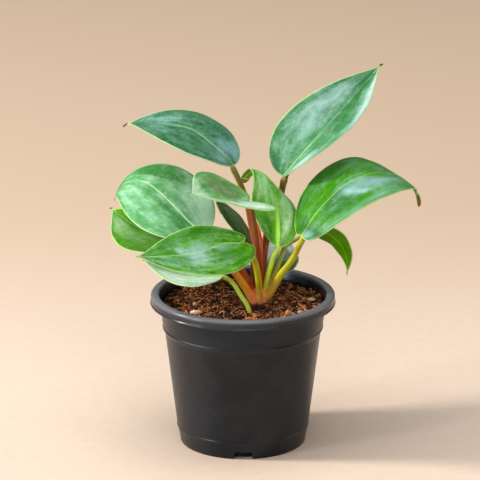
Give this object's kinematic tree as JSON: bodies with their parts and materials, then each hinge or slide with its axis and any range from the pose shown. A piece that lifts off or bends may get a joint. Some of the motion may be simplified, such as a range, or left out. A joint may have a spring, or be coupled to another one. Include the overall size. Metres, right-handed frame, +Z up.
{
  "type": "potted philodendron",
  "caption": "Compact self-heading philodendron with glossy pointed leaves on red-orange stalks, growing in a round black nursery pot filled with fibrous soil.",
  "frame": {"origin": "middle of the pot's flat underside, on the surface that it stands on", "axes": "+Z up, -Y towards the viewer of the picture, +X to the right; the tallest leaf points to +X and +Y"},
  "size_m": [0.2114, 0.1608, 0.2398],
  "materials": {
    "pot": "satin moulded plastic, lightly scuffed",
    "soil": "loose coco fibre and bark, matt",
    "grit": "matt",
    "crown": "waxy, red-orange at the foot and olive above",
    "sheath": "waxy",
    "front_petiole": "waxy",
    "leaf": "waxy gloss with a faint bloom",
    "young_leaf": "waxy gloss with a faint bloom",
    "shade_leaf": "waxy satin"
  },
  "bodies": {
    "root": {"pot": "pot", "soil": "soil", "grit_1": "grit", "grit_2": "grit", "grit_3": "grit", "grit_4": "grit", "crown": "crown", "sheath": "sheath", "petiole_front_low": "front_petiole", "leaf_upper_left": "leaf", "leaf_upper_right": "leaf", "leaf_left": "leaf", "leaf_left_under": "young_leaf", "leaf_centre_left": "shade_leaf", "leaf_front_left": "young_leaf", "leaf_centre": "young_leaf", "leaf_back_left": "shade_leaf", "leaf_right": "leaf", "leaf_right_under": "young_leaf", "leaf_back_low": "shade_leaf", "leaf_front_low": "leaf"}
  },
  "joints": []
}
